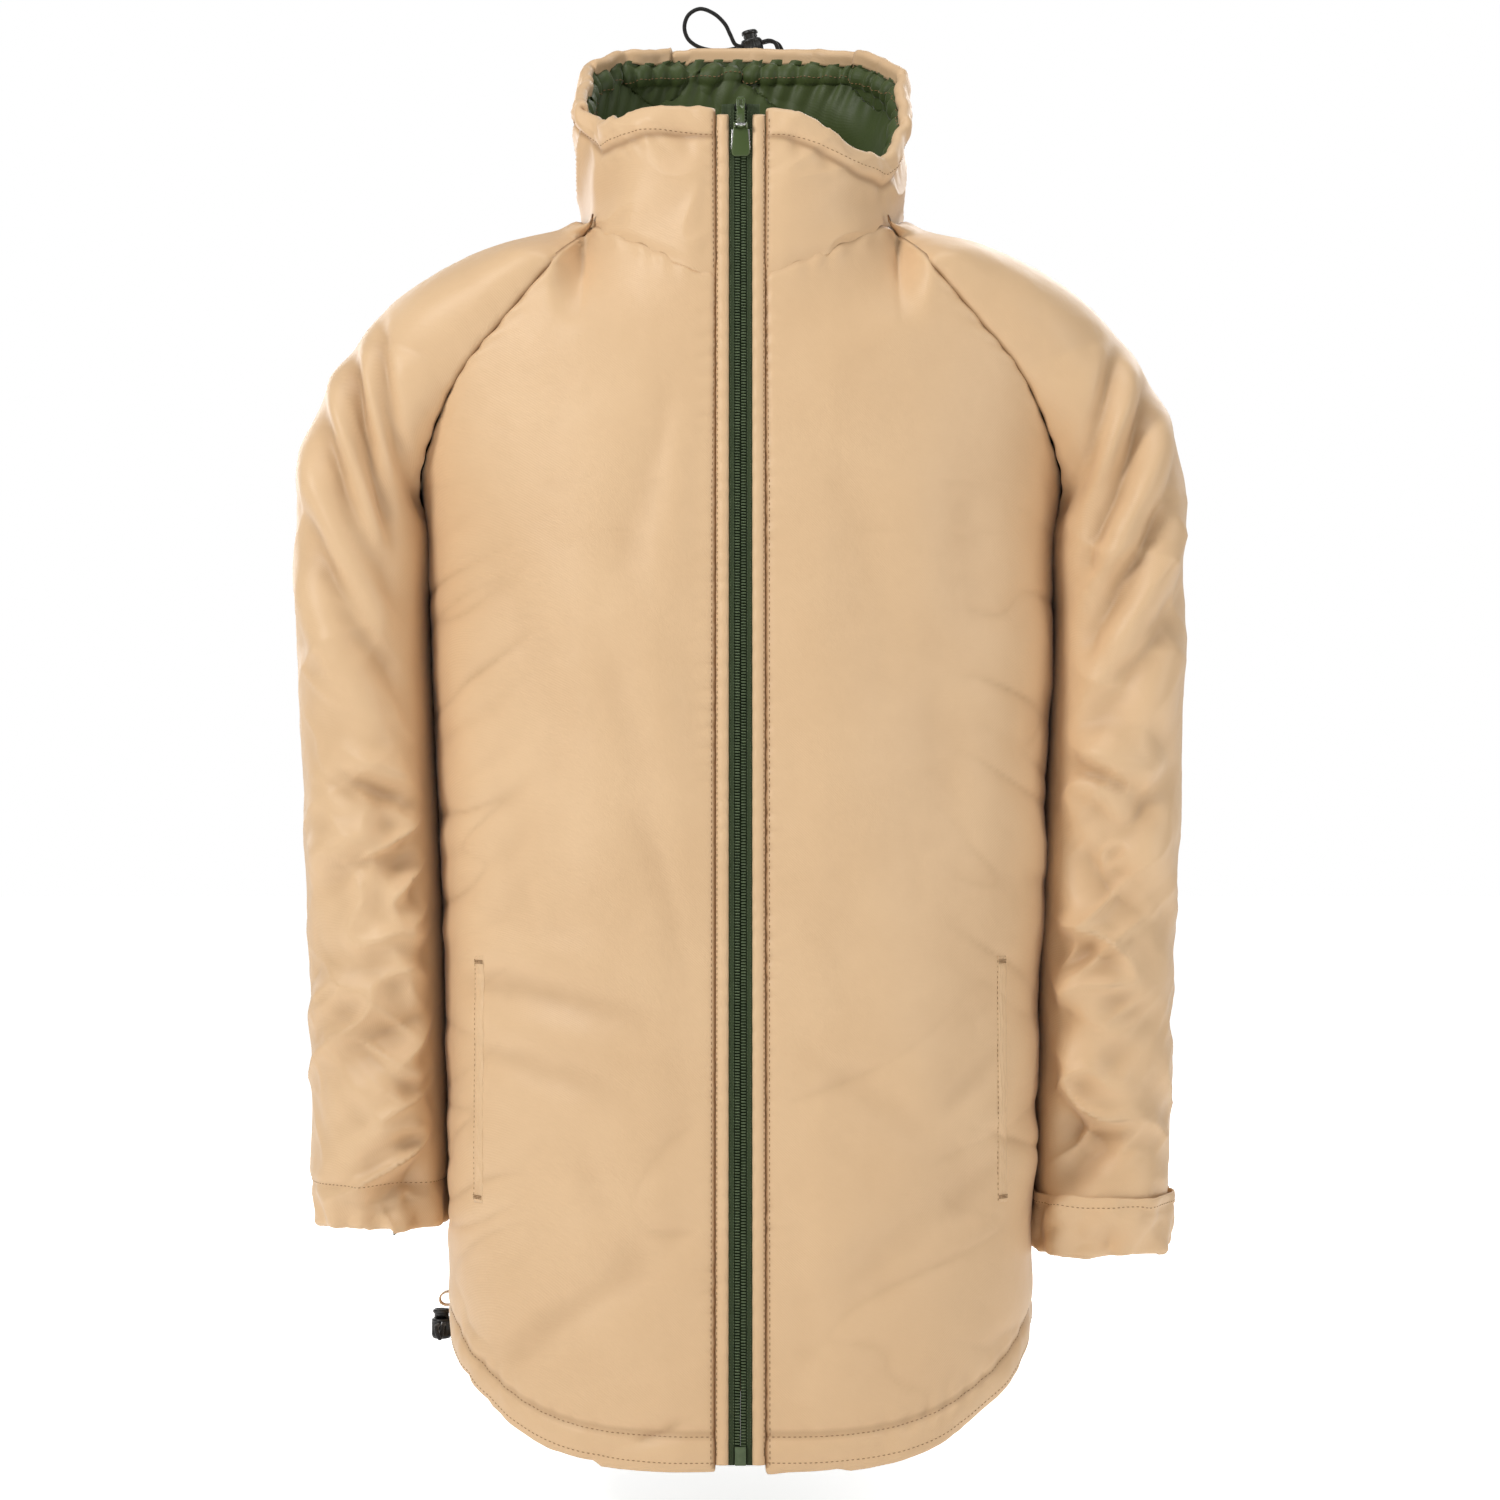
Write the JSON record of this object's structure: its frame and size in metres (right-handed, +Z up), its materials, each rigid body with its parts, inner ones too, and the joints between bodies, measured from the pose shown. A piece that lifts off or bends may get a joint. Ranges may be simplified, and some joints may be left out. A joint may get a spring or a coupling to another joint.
{
  "type": "insulated zip-up jacket",
  "caption": "Insulated stand-collar jacket with raglan sleeves, a full-length zip, elastic drawcords with cord locks at the collar and hem, and a dark lining.",
  "frame": {"origin": "middle of the line between the two neck-shoulder points, where the wearer's shoulders carry the jacket", "axes": "+Z up, front towards -Y, the wearer's left towards +X"},
  "size_m": [0.5588, 0.2813, 0.9166],
  "materials": {
    "tan_satin": "satin",
    "wadding": "matte",
    "green_lining": "satin",
    "zip_tape": "matte",
    "zip_chain": "satin",
    "green_enamel": "gloss",
    "black_cord": "matte",
    "black_plastic": "satin",
    "spring_steel": "satin"
  },
  "bodies": {
    "root": {"front_left_shell": "tan_satin", "front_left_wadding": "wadding", "front_left_lining": "green_lining", "sleeve_cap_left_shell": "tan_satin", "sleeve_cap_left_wadding": "wadding", "sleeve_cap_left_lining": "green_lining", "pocket_welt_left": "tan_satin", "pocket_bag_left": "green_lining", "zip_tape_left": "zip_tape", "zip_teeth_left": "zip_chain", "zip_top_stop_left": "black_plastic", "edge_strip_left": "tan_satin", "front_right_shell": "tan_satin", "front_right_wadding": "wadding", "front_right_lining": "green_lining", "sleeve_cap_right_shell": "tan_satin", "sleeve_cap_right_wadding": "wadding", "sleeve_cap_right_lining": "green_lining", "pocket_welt_right": "tan_satin", "pocket_bag_right": "green_lining", "zip_tape_right": "zip_tape", "zip_teeth_right": "zip_chain", "zip_top_stop_right": "black_plastic", "edge_strip_right": "tan_satin", "back_shell": "tan_satin", "back_wadding": "wadding", "back_lining": "green_lining", "collar_shell": "tan_satin", "collar_wadding": "wadding", "collar_lining": "green_lining", "hem_drawcord": "black_cord", "collar_drawcord": "black_cord", "hanger_loop": "green_lining", "zip_insertion_pin": "zip_chain", "zip_box": "zip_chain", "nape_cord": "black_cord", "hem_cord": "black_cord", "nape_eyelet_patch": "tan_satin"},
    "zip_slider": {"zip_slider": "green_enamel"},
    "zip_pull": {"zip_pull": "green_enamel"},
    "left_upper_sleeve": {"upper_sleeve_left_shell": "tan_satin", "upper_sleeve_left_wadding": "wadding", "upper_sleeve_left_lining": "green_lining"},
    "right_upper_sleeve": {"upper_sleeve_right_shell": "tan_satin", "upper_sleeve_right_wadding": "wadding", "upper_sleeve_right_lining": "green_lining"},
    "left_forearm": {"forearm_sleeve_left_shell": "tan_satin", "forearm_sleeve_left_wadding": "wadding", "forearm_sleeve_left_lining": "green_lining", "cuff_left_turnback": "tan_satin"},
    "right_forearm": {"forearm_sleeve_right_shell": "tan_satin", "forearm_sleeve_right_wadding": "wadding", "forearm_sleeve_right_lining": "green_lining", "cuff_right_facing": "green_lining"},
    "nape_lock": {"nape_lock_barrel": "black_plastic", "nape_lock_spring": "spring_steel"},
    "nape_lock_button": {"nape_lock_plunger": "black_plastic"},
    "hem_lock": {"hem_lock_barrel": "black_plastic", "hem_lock_spring": "spring_steel"},
    "hem_lock_button": {"hem_lock_plunger": "black_plastic"}
  },
  "joints": [
    {"name": "zip_slide", "type": "slide", "parent": "root", "child": "zip_slider", "axis": [0, -0.0669, -0.9978], "range_m": [0, 0.776]},
    {"name": "zip_pull_flip", "type": "hinge", "parent": "zip_slider", "child": "zip_pull", "pos_m": [0, -0.10003, 0.04021], "axis": [1, 0, 0], "range_deg": [0, 180]},
    {"name": "left_shoulder_raise", "type": "hinge", "parent": "root", "child": "left_upper_sleeve", "pos_m": [0.185, 0, -0.13], "axis": [0, -1, 0], "range_deg": [0, 70]},
    {"name": "right_shoulder_raise", "type": "hinge", "parent": "root", "child": "right_upper_sleeve", "pos_m": [-0.185, 0, -0.13], "axis": [0, 1, 0], "range_deg": [0, 70]},
    {"name": "left_elbow_bend", "type": "hinge", "parent": "left_upper_sleeve", "child": "left_forearm", "pos_m": [0.235, 0, -0.385], "axis": [-1, 0, 0], "range_deg": [0, 80]},
    {"name": "right_elbow_bend", "type": "hinge", "parent": "right_upper_sleeve", "child": "right_forearm", "pos_m": [-0.235, 0, -0.385], "axis": [-1, 0, 0], "range_deg": [0, 80]},
    {"name": "nape_lock_slide", "type": "slide", "parent": "root", "child": "nape_lock", "axis": [-0.9781, 0, -0.2079], "range_m": [0, 0.008], "deforming": ["nape_cord"]},
    {"name": "nape_lock_press", "type": "slide", "parent": "nape_lock", "child": "nape_lock_button", "axis": [0.2079, 0, -0.9781], "range_m": [0, 0.003], "stiffness_N_per_m": 500, "deforming": ["nape_lock_spring"]},
    {"name": "hem_lock_slide", "type": "slide", "parent": "root", "child": "hem_lock", "axis": [0, -1, 0], "range_m": [0, 0.006], "deforming": ["hem_cord"]},
    {"name": "hem_lock_press", "type": "slide", "parent": "hem_lock", "child": "hem_lock_button", "axis": [0, 0, -1], "range_m": [0, 0.003], "stiffness_N_per_m": 500, "deforming": ["hem_lock_spring"]}
  ]
}
